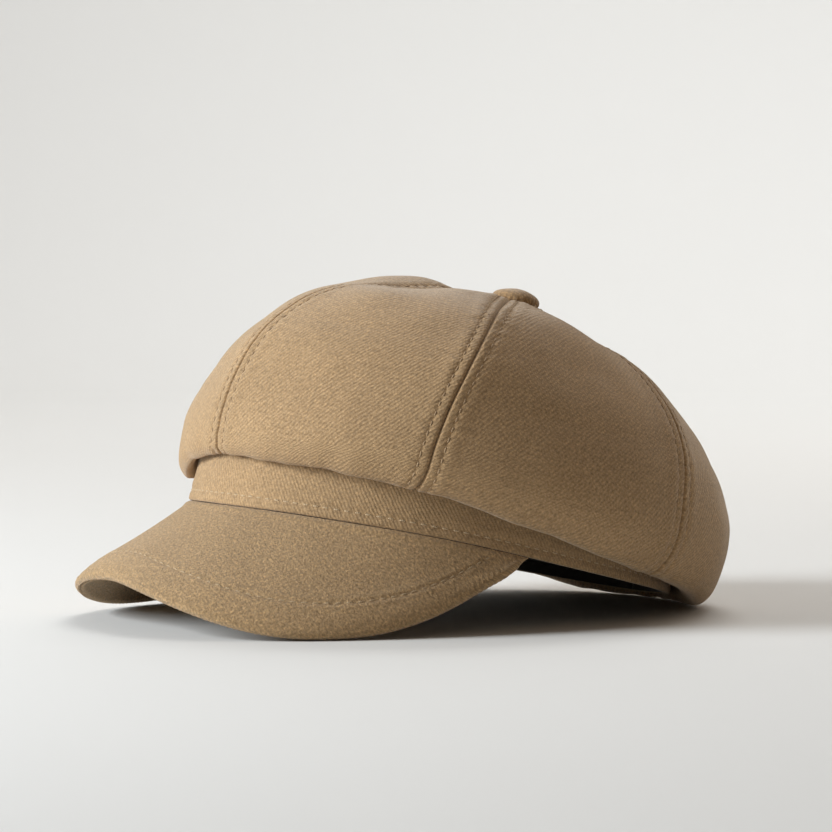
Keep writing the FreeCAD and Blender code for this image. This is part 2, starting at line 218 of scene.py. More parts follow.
class Table:
    """A surface of revolution-like grid, periodic in bearing, read at any (bearing, station)."""

    def __init__(self, stations, m):
        self.dt, self.dk, self.kmax = 1.5, 0.1, m - 1
        self.th = np.arange(0, 360, self.dt)
        self.k = np.arange(0, m - 1 + 1e-9, self.dk)
        self.P = spline_many(stations(self.th), self.k)
        du = np.roll(self.P, -1, 0) - np.roll(self.P, 1, 0)
        dv = np.gradient(self.P, axis=1)
        self.N = unit(np.cross(du, dv))

    def read(self, A, th, k):
        x = (np.asarray(th, float) % 360.0) / self.dt
        y = np.clip(np.asarray(k, float) / self.dk, 0, len(self.k) - 1.000001)
        i, j = np.floor(x).astype(int), np.floor(y).astype(int)
        fx, fy = (x - i)[..., None], (y - j)[..., None]

        def w(f):
            return ((-f ** 3 + 2 * f ** 2 - f) / 2, (3 * f ** 3 - 5 * f ** 2 + 2) / 2,
                    (-3 * f ** 3 + 4 * f ** 2 + f) / 2, (f ** 3 - f ** 2) / 2)
        wx = w(fx)
        n, m = A.shape[:2]
        out = 0
        for a in range(4):
            ii = (i + a - 1) % n
            out = out + wx[a] * (A[ii, j] * (1 - fy) + A[ii, np.minimum(j + 1, m - 1)] * fy)
        return out

    def point(self, th, k):
        return self.read(self.P, th, k)

    def normal(self, th, k):
        return unit(self.read(self.N, th, k))


CROWN = Table(crown_stations, 21)
K_RING = 8


def seam_bearing(i, k):
    w = smooth((np.asarray(k, float) - 8.0) / 6.0)
    return np.array(SEAM_LIP)[i] * (1 - w) + np.array(SEAM_TOP)[i] * w


PUFF_BY_GORE = [2.0, 2.4, 2.6, 2.6, 2.4, 4.6]
FLAT_BY_GORE = [3.5, 3.5, 3.3, 3.3, 3.5, 3.0]


def gore_shift(i, u, k, p):
    z = p[..., 2]
    dome = np.clip((k - K_RING) / 1.5, 0, 1)
    fl = 1 - (2 * u - 1) ** 2
    flat = np.clip((z - 30) / 25, 0, 1) * np.clip((100 - z) / 22, 0, 1) * dome
    rr = np.hypot(p[..., 0], p[..., 1] - APEX_Y)
    puff = np.exp(-((rr - 50) / 20.0) ** 2) * dome * np.clip((z - 66) / 12, 0, 1)
    return -FLAT_BY_GORE[i] * flat * fl + PUFF_BY_GORE[i] * puff * np.sin(np.pi * u)


def gore_th(i, u, k):
    return seam_bearing(i, k) * (1 - u) + seam_bearing(i + 1, k) * u


def gore_big(i, u, k):
    """Crown surface with its gores' own fullness and its soft unevenness."""
    th = gore_th(i, u, k)
    p = CROWN.point(th, k)
    n = CROWN.normal(th, k)
    d = gore_shift(i, u, k, p)
    dome = smooth(k, 5.0, 10.0) * (1 - 0.75 * smooth(k, 16.5, 18.5))
    edge = np.sin(np.pi * u) ** 0.5
    d = d + dome * (0.35 + 0.65 * edge) * (0.85 * noise(p / 36.0, 11) + 0.40 * noise(p / 15.0, 12))
    d = d + 0.30 * noise(p / 12.0, 13) * smooth(k, 2.5, 4.0) * (1 - smooth(k, 7.0, 10.0))
    th_ = (th + 180.0) % 360.0 - 180.0
    rr = np.hypot(p[..., 0], p[..., 1] - APEX_Y)
    d = d - 3.4 * np.exp(-((rr - 52) / 18.0) ** 2) * np.exp(-((th_ - 12.0) / 22.0) ** 2) * smooth(k, 10.0, 12.0) * (p[..., 2] > 40)
    d = d + 1.6 * np.exp(-((rr - 34) / 14.0) ** 2) * np.exp(-((th_ + 34.0) / 20.0) ** 2) * smooth(k, 11.0, 13.0)
    d = d - 1.9 * np.exp(-((rr - 23) / 9.0) ** 2) * np.exp(-(((th - 150.0 + 180.0) % 360.0 - 180.0) / 34.0) ** 2) * smooth(k, 12.0, 14.0)
    d = d + 1.0 * np.exp(-((th_ - 140.0) / 30.0) ** 2) * np.exp(-((p[..., 2] - 62) / 26.0) ** 2) * smooth(k, 9.0, 11.0)
    q = p + n * d[..., None]
    hang = smooth(k, 2.5, 4.5) * (1 - smooth(k, 8.0, 12.0))
    q[..., 2] = q[..., 2] + hang * (0.75 * noise2(th / 11.0, 2.7, 14) + 0.40 * noise2(th / 4.5, 5.1, 15) + 2.4 * np.exp(-((th_ + 126.0) / 26.0) ** 2))
    return q, n


# ------------------------------------------------------------------ mesh helpers
def grid_quads(R, C, start=0, loop_r=False, loop_c=False, flip=False):
    r = np.arange(R if loop_r else R - 1)
    c = np.arange(C if loop_c else C - 1)
    a, b = np.meshgrid(r, c, indexing="ij")
    a2, b2 = (a + 1) % R, (b + 1) % C
    q = np.stack([a * C + b, a * C + b2, a2 * C + b2, a2 * C + b], -1).reshape(-1, 4) + start
    return q[:, ::-1] if flip else q


def make(name, verts, faces, uv=None, mat=None, sharp=40.0):
    """A mesh object from points in millimetres in the frame, with a UV in metres of cloth."""
    me = bpy.data.meshes.new(name)
    verts = np.asarray(verts, np.float32) / 1000.0
    quads = [f for f in faces if f.shape[1] == 4]
    tris = [f for f in faces if f.shape[1] == 3]
    q = np.concatenate(quads) if quads else np.zeros((0, 4), int)
    t = np.concatenate(tris) if tris else np.zeros((0, 3), int)
    loops = np.concatenate([q.ravel(), t.ravel()]).astype(np.int32)
    me.vertices.add(len(verts))
    me.vertices.foreach_set("co", verts.ravel())
    me.loops.add(len(loops))
    me.loops.foreach_set("vertex_index", loops)
    me.polygons.add(len(q) + len(t))
    starts = np.concatenate([np.arange(len(q)) * 4, len(q) * 4 + np.arange(len(t)) * 3]).astype(np.int32)
    me.polygons.foreach_set("loop_start", starts)
    me.update(calc_edges=True)
    if uv is not None:
        layer = me.uv_layers.new(name="UVMap")
        layer.data.foreach_set("uv", (np.asarray(uv, np.float32) / 1000.0)[loops].ravel())
    me.validate()
    me.polygons.foreach_set("use_smooth", np.ones(len(me.polygons), bool))
    if sharp:
        me.set_sharp_from_angle(angle=math.radians(sharp))
    me.update()
    o = bpy.data.objects.new(name, me)
    bpy.context.scene.collection.objects.link(o)
    if mat is not None:
        me.materials.append(mat)
    return o


def slab(outer, inner, loop_c=False, flip=False):
    """Vertices and faces of a closed slab between two grids (R, C, 3)."""
    R, C = outer.shape[:2]
    n = R * C
    v = np.concatenate([outer.reshape(-1, 3), inner.reshape(-1, 3)])
    f = [grid_quads(R, C, 0, loop_c=loop_c, flip=flip), grid_quads(R, C, n, loop_c=loop_c, flip=not flip)]
    cc = np.arange(C if loop_c else C - 1)
    c2 = (cc + 1) % C
    top = np.stack([cc, cc + n, c2 + n, c2], -1)
    o = (R - 1) * C
    bot = np.stack([o + cc, o + c2, o + c2 + n, o + cc + n], -1)
    f += [top[:, ::-1] if flip else top, bot[:, ::-1] if flip else bot]
    if not loop_c:
        rr = np.arange(R - 1) * C
        le = np.stack([rr, rr + C, rr + C + n, rr + n], -1)
        ri = np.stack([rr + C - 1, rr + C - 1 + n, rr + 2 * C - 1 + n, rr + 2 * C - 1], -1)
        f += [le[:, ::-1] if flip else le, ri[:, ::-1] if flip else ri]
    return v, f


def outward(o):
    """Turns a closed mesh's faces to look outward."""
    me = o.data
    me.calc_loop_triangles()
    co = np.zeros(len(me.vertices) * 3)
    me.vertices.foreach_get("co", co)
    co = co.reshape(-1, 3)
    tri = np.zeros(len(me.loop_triangles) * 3, np.int32)
    me.loop_triangles.foreach_get("vertices", tri)
    a, b, c = co[tri.reshape(-1, 3)].transpose(1, 0, 2)
    if np.einsum("ij,ij->i", a, np.cross(b, c)).sum() < 0:
        me.flip_normals()
    return o


class Threads:
    """Sewn stitches as short sunk lengths of thread, gathered into one mesh."""

    def __init__(self):
        self.v, self.q, self.t, self.uv, self.n = [], [], [], [], 0

    def along(self, path, normal, pitch=4.2, dash=2.9, r=0.27, lift=0.16, sink=0.42, start=0.0, end=0.0, seed=1, slant=0.0):
        seg = np.linalg.norm(np.diff(path, axis=0), axis=1)
        s = np.concatenate([[0], np.cumsum(seg)])
        count = int((s[-1] - start - end) / pitch)
        if count < 1:
            return
        real = (s[-1] - start - end) / count
        a = np.linspace(-1, 1, 9)
        ring = np.linspace(0, 2 * np.pi, 9)[:-1]
        for j in range(count):
            jit = float(noise2(j * 1.7, seed * 3.1, 5))
            c = start + real * (j + 0.5) + 0.18 * jit
            dl = dash * (1 + 0.08 * float(noise2(j * 1.3 + 9, seed, 6)))
            ss = c + a * dl / 2
            P = np.stack([np.interp(ss, s, path[:, d]) for d in range(3)], -1)
            N = unit(np.stack([np.interp(ss, s, normal[:, d]) for d in range(3)], -1))
            T = unit(np.gradient(P, axis=0))
            B = unit(np.cross(T, N))
            N = np.cross(B, T)
            h = lift - (lift + sink) * np.abs(a) ** 3.0
            P = P + N * h[:, None] + B * (slant * a)[:, None]
            rad = r * (1 - 0.45 * np.abs(a) ** 4)
            body = P[:, None] + rad[:, None, None] * (np.cos(ring)[None, :, None] * B[:, None] + 0.85 * np.sin(ring)[None, :, None] * N[:, None])
            k = len(ring)
            base = self.n
            self.v.append(body.reshape(-1, 3))
            self.v.append(P[[0, -1]] + T[[0, -1]] * np.array([[-0.12], [0.12]]))
            self.q.append(grid_quads(len(a), k, base, loop_c=True))
            rr = np.arange(k)
            e0, e1 = base + len(a) * k, base + len(a) * k + 1
            self.t.append(np.stack([np.full(k, e0), rr + base, (rr + 1) % k + base][::-1], -1))
            o = base + (len(a) - 1) * k
            self.t.append(np.stack([np.full(k, e1), (rr + 1) % k + o, rr + o][::-1], -1))
            uu = np.stack(np.broadcast_arrays(ss[:, None], (r * ring)[None, :]), -1).reshape(-1, 2)
            self.uv.append(uu)
            self.uv.append(np.stack([ss[[0, -1]], np.zeros(2)], -1))
            self.n += len(a) * k + 2

    def finish(self, name, mat):
        o = make(name, np.concatenate(self.v), [np.concatenate(self.q), np.concatenate(self.t)], np.concatenate(self.uv), mat, sharp=None)
        return o


# ------------------------------------------------------------------ materials
def lin(r, g, b):
    def f(c):
        c = c / 255.0
        return c / 12.92 if c <= 0.04045 else ((c + 0.055) / 1.055) ** 2.4
    return (f(r), f(g), f(b), 1.0)


class Nodes:
    def __init__(self, name):
        self.m = bpy.data.materials.new(name)
        self.m.use_nodes = True
        self.t = self.m.node_tree
        self.t.nodes.clear()
        self.out = self.t.nodes.new("ShaderNodeOutputMaterial")
        self.b = self.t.nodes.new("ShaderNodeBsdfPrincipled")
        self.t.links.new(self.b.outputs[0], self.out.inputs[0])

    def new(self, kind, **k):
        n = self.t.nodes.new(kind)
        for a, v in k.items():
            setattr(n, a, v)
        return n

    def link(self, a, b):
        self.t.links.new(a, b)

    def put(self, sock, v):
        if isinstance(v, (int, float)):
            sock.default_value = v
        elif isinstance(v, tuple):
            sock.default_value = v
        else:
            self.link(v, sock)

    def math(self, op, a, b=None, c=None, clamp=False):
        n = self.new("ShaderNodeMath", operation=op, use_clamp=clamp)
        self.put(n.inputs[0], a)
        if b is not None:
            self.put(n.inputs[1], b)
        if c is not None:
            self.put(n.inputs[2], c)
        return n.outputs[0]

    def noise(self, vec, scale, detail=2.0, rough=0.5, dist=0.0, dims="3D"):
        n = self.new("ShaderNodeTexNoise", noise_dimensions=dims)
        self.link(vec, n.inputs["Vector"])
        n.inputs["Scale"].default_value = scale
        n.inputs["Detail"].default_value = detail
        n.inputs["Roughness"].default_value = rough
        n.inputs["Distortion"].default_value = dist
        return n.outputs["Fac"]

    def ramp(self, fac, lo, hi, a=0.0, b=1.0):
        n = self.new("ShaderNodeMapRange", interpolation_type="SMOOTHSTEP")
        self.link(fac, n.inputs[0])
        n.inputs[1].default_value, n.inputs[2].default_value = lo, hi
        n.inputs[3].default_value, n.inputs[4].default_value = a, b
        return n.outputs[0]

    def mix(self, fac, a, b, kind="MIX"):
        n = self.new("ShaderNodeMix", data_type="RGBA", blend_type=kind)
        self.put(n.inputs[0], fac)
        self.put(n.inputs[6], a)
        self.put(n.inputs[7], b)
        return n.outputs[2]

    def bump(self, height, dist, strength=1.0, after=None):
        n = self.new("ShaderNodeBump")
        n.inputs["Distance"].default_value = dist
        n.inputs["Strength"].default_value = strength
        self.link(height, n.inputs["Height"])
        if after is not None:
            self.link(after, n.inputs["Normal"])
        return n.outputs[0]


def wool(name, base, angle=38.0, pitch=1.5, rib=0.55, pebble=0.3, dark=0.80, light=1.14, sheen=0.32, depth=0.00028, blotch=0.07, grain=0.23):
    """Brushed wool twill: slanting ribs broken up yarn by yarn, under a short nap, with painted shade in the rib
    valleys and painted light on the ridges.
    """
    s = Nodes(name)
    uv = s.new("ShaderNodeUVMap", uv_map="UVMap").outputs[0]
    sep = s.new("ShaderNodeSeparateXYZ")
    s.link(uv, sep.inputs[0])
    x, y = sep.outputs[0], sep.outputs[1]
    wob = s.noise(uv, 140.0, 2.0)
    wob2 = s.noise(uv, 620.0, 2.0)
    ca, sa = math.cos(math.radians(angle)), math.sin(math.radians(angle))
    p = pitch / 1000.0
    along = s.math("ADD", s.math("MULTIPLY", x, ca / p), s.math("MULTIPLY", y, sa / p))
    across = s.math("ADD", s.math("MULTIPLY", x, -sa / p), s.math("MULTIPLY", y, ca / p))
    across = s.math("ADD", across, s.math("MULTIPLY", wob, 0.9))
    across = s.math("ADD", across, s.math("MULTIPLY", wob2, 0.55))
    row = s.math("FLOOR", across)
    ribs = s.math("MULTIPLY_ADD", s.math("COSINE", s.math("MULTIPLY", across, 2 * math.pi)), -0.5, 0.5)
    step = s.math("ADD", s.math("MULTIPLY", along, 1.35), s.math("MULTIPLY", row, 0.43))
    step = s.math("ADD", step, s.math("MULTIPLY", wob2, 1.2))
    yarn = s.math("MULTIPLY_ADD", s.math("COSINE", s.math("MULTIPLY", step, 2 * math.pi)), 0.5, 0.5)
    fuzz = s.noise(uv, 2300.0, 3.0, 0.6)
    peb = s.noise(uv, 1050.0, 4.0, 0.75)
    peb = s.ramp(peb, 0.20, 0.80)
    h = s.math("MULTIPLY", ribs, s.math("MULTIPLY_ADD", yarn, 0.45, 0.55))
    h = s.math("ADD", s.math("MULTIPLY", h, rib), s.math("MULTIPLY", peb, pebble))
    h = s.math("ADD", h, s.math("MULTIPLY", fuzz, 0.28))
    big = s.noise(uv, 22.0, 3.0, 0.6)
    mel = s.noise(uv, 1500.0, 2.0, 0.7)
    # painted shade and light: the rib and nap relief h darkens the colour in the valleys (dark) and lightens it on the
    # ridges (light); mel, grain and big below are the yarns' own tone
    painted_shade_and_tone = s.ramp(h, 0.18, 0.95, dark, light)
    painted_shade_and_tone = s.math("MULTIPLY", painted_shade_and_tone, s.ramp(mel, 0.25, 0.75, 0.90, 1.10))
    painted_shade_and_tone = s.math("MULTIPLY", painted_shade_and_tone, s.ramp(s.noise(uv, 920.0, 2.0, 0.6), 0.28, 0.72, 1 - grain, 1 + grain))
    painted_shade_and_tone = s.math("MULTIPLY", painted_shade_and_tone, s.ramp(s.noise(uv, 430.0, 2.0, 0.5), 0.28, 0.72, 1 - 0.42 * grain, 1 + 0.42 * grain))
    painted_shade_and_tone = s.math("MULTIPLY", painted_shade_and_tone, s.ramp(big, 0.25, 0.75, 1 - blotch, 1 + blotch))
    n = s.new("ShaderNodeVectorMath", operation="SCALE")
    hue = s.mix(s.ramp(s.noise(uv, 900.0, 2.0, 0.6), 0.35, 0.65), base, (base[0] * 1.03, base[1] * 0.99, base[2] * 0.92, 1.0))
    s.link(hue, n.inputs[0])
    s.link(painted_shade_and_tone, n.inputs["Scale"])
    s.link(n.outputs[0], s.b.inputs["Base Color"])
    s.link(s.ramp(fuzz, 0.2, 0.8, 0.80, 0.97), s.b.inputs["Roughness"])
    s.b.inputs["Specular IOR Level"].default_value = 0.22
    s.b.inputs["Sheen Weight"].default_value = sheen
    s.b.inputs["Sheen Roughness"].default_value = 0.45
    s.b.inputs["Sheen Tint"].default_value = (1.0, 0.96, 0.89, 1.0)
    s.link(s.bump(h, depth, 1.0), s.b.inputs["Normal"])
    return s.m


def thread(name, base):
    """Two-ply cotton thread: fine twist along its length, with painted shade in the twist's grooves."""
    s = Nodes(name)
    uv = s.new("ShaderNodeUVMap", uv_map="UVMap").outputs[0]
    sep = s.new("ShaderNodeSeparateXYZ")
    s.link(uv, sep.inputs[0])
    ph = s.math("ADD", s.math("MULTIPLY", sep.outputs[0], 2 * math.pi / 0.00075), s.math("MULTIPLY", sep.outputs[1], 3700.0))
    tw = s.math("MULTIPLY_ADD", s.math("COSINE", ph), 0.5, 0.5)
    fz = s.noise(uv, 2600.0, 2.0, 0.6)
    n = s.new("ShaderNodeVectorMath", operation="SCALE")
    s.link(s.mix(fz, base, (base[0] * 0.86, base[1] * 0.84, base[2] * 0.80, 1.0)), n.inputs[0])
    # painted shade and light: the twist tw darkens the colour in its grooves and lightens it on the plies
    s.link(s.ramp(tw, 0.0, 1.0, 0.78, 1.10), n.inputs["Scale"])
    s.link(n.outputs[0], s.b.inputs["Base Color"])
    s.link(s.ramp(fz, 0.2, 0.8, 0.60, 0.78), s.b.inputs["Roughness"])
    s.b.inputs["Specular IOR Level"].default_value = 0.35
    s.b.inputs["Sheen Weight"].default_value = 0.2
    s.link(s.bump(tw, 0.00008, 0.8), s.b.inputs["Normal"])
    return s.m


def plain_weave(name, base, pitch=0.6, sheen=0.1, rough=(0.6, 0.8), depth=0.00010, spec=0.3):
    """Fine plain weave, for lining, sweatband, label and buckram, with painted shade in the weave's hollows."""
    s = Nodes(name)
    uv = s.new("ShaderNodeUVMap", uv_map="UVMap").outputs[0]
    sep = s.new("ShaderNodeSeparateXYZ")
    s.link(uv, sep.inputs[0])
    wob = s.noise(uv, 400.0, 2.0)
    k = 2 * math.pi / (pitch / 1000.0)
    a = s.math("SINE", s.math("MULTIPLY_ADD", sep.outputs[0], k, wob))
    b = s.math("SINE", s.math("MULTIPLY_ADD", sep.outputs[1], k, wob))
    h = s.math("MULTIPLY_ADD", s.math("MULTIPLY", a, b), 0.5, 0.5)
    big = s.noise(uv, 35.0, 3.0, 0.6)
    n = s.new("ShaderNodeVectorMath", operation="SCALE")
    s.link(s.mix(big, base, (base[0] * 1.35, base[1] * 1.3, base[2] * 1.2, 1.0)), n.inputs[0])
    # painted shade and light: the weave relief h darkens the colour in its hollows and lightens it on the raised
    # crossings
    s.link(s.ramp(h, 0.0, 1.0, 0.72, 1.15), n.inputs["Scale"])
    s.link(n.outputs[0], s.b.inputs["Base Color"])
    s.link(s.ramp(big, 0.2, 0.8, rough[0], rough[1]), s.b.inputs["Roughness"])
    s.b.inputs["Specular IOR Level"].default_value = spec
    s.b.inputs["Sheen Weight"].default_value = sheen
    s.link(s.bump(h, depth, 0.8), s.b.inputs["Normal"])
    return s.m


def board_plastic(name):
    s = Nodes(name)
    co = s.new("ShaderNodeTexCoord").outputs["Object"]
    g = s.noise(co, 900.0, 3.0, 0.6)
    big = s.noise(co, 40.0, 2.0)
    s.link(s.mix(big, (0.10, 0.10, 0.095, 1), (0.17, 0.17, 0.16, 1)), s.b.inputs["Base Color"])
    s.link(s.ramp(g, 0.3, 0.7, 0.45, 0.62), s.b.inputs["Roughness"])
    s.link(s.bump(g, 0.00008, 0.6), s.b.inputs["Normal"])
    return s.m


def pressed_metal(name):
    s = Nodes(name)
    co = s.new("ShaderNodeTexCoord").outputs["Object"]
    mp = s.new("ShaderNodeMapping")
    mp.inputs["Scale"].default_value = (1.0, 1.0, 6.0)
    s.link(co, mp.inputs[0])
    g = s.noise(mp.outputs[0], 1400.0, 3.0, 0.6)
    big = s.noise(co, 260.0, 3.0, 0.6)
    s.link(s.mix(big, (0.50, 0.49, 0.46, 1), (0.62, 0.61, 0.58, 1)), s.b.inputs["Base Color"])
    s.b.inputs["Metallic"].default_value = 1.0
    s.link(s.ramp(g, 0.3, 0.7, 0.30, 0.46), s.b.inputs["Roughness"])
    s.link(s.bump(g, 0.00004, 0.5), s.b.inputs["Normal"])
    return s.m


KHAKI = lin(171, 142, 106)
M_CROWN = wool("wool_twill_crown", KHAKI, angle=52, pitch=1.56, rib=0.42)
M_BAND = wool("wool_twill_band", KHAKI, angle=56, pitch=1.30, rib=0.36)
# the visor's pebble relief gets strong painted shade and painted light in its colour (dark, light)
M_VISOR = wool("wool_twill_visor", lin(178, 148, 109), angle=74, pitch=1.50, rib=0.08, pebble=0.74, dark=0.66, light=1.27, depth=0.00044, grain=0.24)
M_BUTTON = wool("wool_twill_button", lin(168, 139, 104), angle=30, pitch=1.4, rib=0.40, pebble=0.35)
M_THREAD = thread("topstitch_thread", lin(192, 167, 132))
M_THREAD_TONE = thread("topstitch_thread_tonal", lin(176, 148, 114))
M_DARKTHREAD = thread("dark_thread", lin(52, 48, 40))
M_LINING = plain_weave("dark_lining_weave", lin(44, 42, 34), 0.5, 0.15, (0.42, 0.60))
M_SWEAT = plain_weave("sweatband_weave", lin(46, 43, 35), 0.8, 0.10, (0.75, 0.9), 0.00018)
M_LABEL = plain_weave("blank_label_weave", lin(86, 82, 70), 0.45, 0.1, (0.5, 0.7))
M_BUCKRAM = plain_weave("buckram_weave", lin(190, 182, 160), 1.2, 0.0, (0.7, 0.9), 0.0003)
M_BOARD = board_plastic("visor_board_plastic")
M_METAL = pressed_metal("pressed_metal")

# ------------------------------------------------------------------ crown panels, sewn seam by seam
GORES = ["front_left", "side_left", "rear_left", "rear_right", "side_right", "front_right"]
NEAR = np.array([0, .18, .4, .65, .95, 1.3, 1.75, 2.25, 2.75, 3.2, 3.6, 3.9, 4.2, 4.5, 4.85, 5.3, 5.9, 6.7, 7.7, 9.0])
ROW = 4.2                       # the stitch row's distance from the seam
I_ROW = int(np.argmin(abs(NEAR - ROW)))
MID = 62

kf = np.linspace(0, 20, 401)
mid_len = 0
for i in range(6):
    p, _n = gore_big(i, 0.5 + 0 * kf, kf)
    mid_len = mid_len + np.concatenate([[0], np.cumsum(np.linalg.norm(np.diff(p, axis=0), axis=1))]) / 6
ROWS = int(mid_len[-1] / 1.15)
KROW = np.interp(np.linspace(0, mid_len[-1], ROWS), mid_len, kf)


def seam_detail(d, s, side, seam, k):
    """Height of the cloth beside a seam: the groove, the pillow up to the stitch row, the sunk row and its puckers."""
    sd = d * side
    live = smooth(k, 2.2, 4.0)
    g = -1.15 * np.exp(-(d / 0.55) ** 2)
    pil = 0.24 * np.sin(np.pi * np.clip(d / ROW, 0, 1)) * (1 + 0.30 * noise2(s / 6.0, seam * 9.1, 21))
    row = -0.30 * np.exp(-((d - ROW) / 0.55) ** 2) * (0.60 - 0.28 * np.cos(2 * np.pi * s / 4.2))
    pk = 0.34 * noise2(s / 1.9, sd / 5.0 + seam * 31.7, 22) * np.exp(-((d - 4.6) / 3.2) ** 2)
    pk2 = 0.16 * noise2(s / 4.2, sd / 9.0 + seam * 11.3, 23) * np.exp(-((d - 6.0) / 5.0) ** 2)
    rip = 0.09 * np.cos(2 * np.pi * s / 4.2 + 2 * noise2(s / 9.0, seam, 24)) * np.exp(-((d - 2.1) / 1.4) ** 2)
    out = 0.30 * np.exp(-((d - 7.0) / 2.6) ** 2)
    return g + (pil + row + pk + pk2 + rip + out) * (0.25 + 0.75 * live)


crown_threads = Threads()
seam_paths = {}
for i, gname in enumerate(GORES):
    uf = np.linspace(0, 1, 61)
    U, K = np.meshgrid(uf, KROW)
    Pf, _ = gore_big(i, U, K)
    cum = np.concatenate([np.zeros((ROWS, 1)), np.cumsum(np.linalg.norm(np.diff(Pf, axis=1), axis=-1), axis=1)], 1)
    Wd = cum[:, -1]
    f = np.minimum(1.0, Wd / (2 * NEAR[-1] + 6.0))
    left = NEAR[None] * f[:, None]
    inner = np.linspace(0, 1, MID + 2)[1:-1][None]
    a, b = left[:, -1:], Wd[:, None] - left[:, -1:]
    D = np.concatenate([left, a + (b - a) * inner, Wd[:, None] - left[:, ::-1]], 1)
    D[:, 0] = 0.05
    D[:, -1] = Wd - 0.05
    U = np.stack([np.interp(D[r], cum[r], uf) for r in range(ROWS)])
    K = np.repeat(KROW[:, None], U.shape[1], 1)
    P, N = gore_big(i, U, K)
    seamS = []
    for e in (0, -1):
        q = P[:, e]
        seamS.append(np.concatenate([[0], np.cumsum(np.linalg.norm(np.diff(q, axis=0), axis=1))]))
    dl, dr = D, Wd[:, None] - D
    ff = f[:, None]
    det = np.where(dl < dr,
                   seam_detail(dl / ff, seamS[0][:, None] + 0 * D, 1.0, i % 6, K),
                   seam_detail(dr / ff, seamS[1][:, None] + 0 * D, -1.0, (i + 1) % 6, K))
    det = det * np.clip(ff * 1.3, 0.35, 1.0)
    outer = P + N * det[..., None]
    inn = P - N * (CLOTH_T - 0.1)
    v, fc = slab(settle(to_world(outer)), settle(to_world(inn)))
    x = D - Wd[:, None] / 2
    y = np.repeat(np.interp(KROW, kf, mid_len)[:, None], D.shape[1], 1)
    ang = i * 0.0
    uv = np.stack([x + 300 * i, y], -1).reshape(-1, 2)
    o = outward(make("crown_" + gname, v, fc, np.concatenate([uv, uv]), M_CROWN))
    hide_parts("crown_panel_" + gname)
    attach(o, "cap")
    # stitch rows, one each side of the panel, from under the lip to the button
    rr = np.hypot(P[:, 0, 0], P[:, 0, 1] - APEX_Y)
    keep = (KROW > 3.0) & (rr > 9.0)
    for col in (I_ROW, D.shape[1] - 1 - I_ROW):
        crown_threads.along(to_world(outer[keep, col]), turn(N[keep, col]), seed=i * 2 + (col != I_ROW))
o = crown_threads.finish("crown_topstitch", M_THREAD_TONE)
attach(o, "cap")

# ------------------------------------------------------------------ headband: turned cloth with one stitch row
def ring_mesh(name, off, z, mat, n_th, detail=None, th0=180.0, closed=True):
    """A band round the head from a cross-section of offsets and heights; it starts and ends at the back."""
    th = th0 + np.arange(n_th) * 360.0 / n_th
    arc = np.concatenate([[0], np.cumsum(np.hypot(*(np.diff(c) for c in band_pt(np.append(th, th[0] + 360), 10.0))))])
    T, O = np.meshgrid(th, off, indexing="ij")
    Z = np.broadcast_to(np.asarray(z)[None], T.shape).copy()
    A = np.repeat(arc[:-1, None], len(off), 1)
    if detail is not None:
        dO, dZ = detail(T, O, Z, A)
        O, Z = O + dO, Z + dZ
    x, y = band_pt(T, Z, O)
    P = np.stack([x, y, Z], -1)
    sec = np.concatenate([[0], np.cumsum(np.hypot(np.diff(off), np.diff(z)))])
    R, C = T.shape
    v = to_world(P).reshape(-1, 3)
    f = [grid_quads(R, C, 0, loop_r=True, loop_c=True)]
    me_uv = np.stack([A, np.broadcast_to(sec[None], A.shape)], -1).reshape(-1, 2)
    o = outward(make(name, v, f, me_uv, mat))
    return o, P, T


b_off, b_z = [], []
for z in np.arange(31.9, 1.0, -0.75):
    b_off.append(0.0)
    b_z.append(z)
for a in np.linspace(0, 90, 7)[1:]:
    b_off.append(-0.8 + 0.8 * math.cos(math.radians(a)))
    b_z.append(0.85 - 0.8 * math.sin(math.radians(a)))
b_off += [-1.5, -2.1]
b_z += [0.05, 0.05]
for a in np.linspace(0, 90, 4)[1:]:
    b_off.append(-2.1 - 0.5 * math.sin(math.radians(a)))
    b_z.append(0.55 - 0.5 * math.cos(math.radians(a)))
b_off += [-2.6, -2.0, -1.62, -1.62, -1.62, -1.62, -0.9]
b_z += [1.6, 1.9, 2.4, 10.0, 20.0, 31.0, 31.9]
b_off, b_z = np.array(b_off), np.array(b_z)
BAND_ROW = 4.1


def edge_drop(th):
    """The band's sewn edge isn't quite flat: a little lower at the very front, higher at the temples."""
    t = np.abs((np.asarray(th, float) + 180.0) % 360.0 - 180.0)
    return -0.9 * np.exp(-(t / 24.0) ** 2) + 1.3 * np.exp(-((t - 68.0) / 26.0) ** 2)


def band_detail(T, O, Z, A):
    outer = (O > -0.5).astype(float)
    wav = 0.35 * noise2(A / 34.0, Z / 20.0, 31) + 0.14 * noise2(A / 9.0, Z / 14.0, 32)
    row = -0.34 * np.exp(-((Z - BAND_ROW) / 0.75) ** 2) * (0.72 - 0.28 * np.cos(2 * np.pi * A / 4.2))
    bulge = 0.26 * np.sin(np.pi * np.clip(Z / BAND_ROW, 0, 1)) + 0.22 * np.exp(-((Z - BAND_ROW - 3.0) / 1.8) ** 2)
    pk = 0.17 * noise2(A / 2.0, Z / 6.0 + 7, 33) * np.exp(-((Z - BAND_ROW) / 3.2) ** 2)
    back = np.abs((T - 180.0 + 180.0) % 360.0 - 180.0) * 1.66
    seam = -1.0 * np.exp(-(back / 0.7) ** 2) + 0.3 * np.exp(-((back - 2.2) / 1.4) ** 2)
    return outer * (wav + row + bulge + pk + seam), edge_drop(T) * np.clip(1 - Z / 16.0, 0, 1) + 0.12 * noise2(A / 26.0, 3.3, 34) * np.exp(-(Z / 3.0) ** 2)


band, bandP, bandT = ring_mesh("headband_cloth", b_off, b_z, M_BAND, 560, band_detail)
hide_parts("headband")
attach(band, "cap")

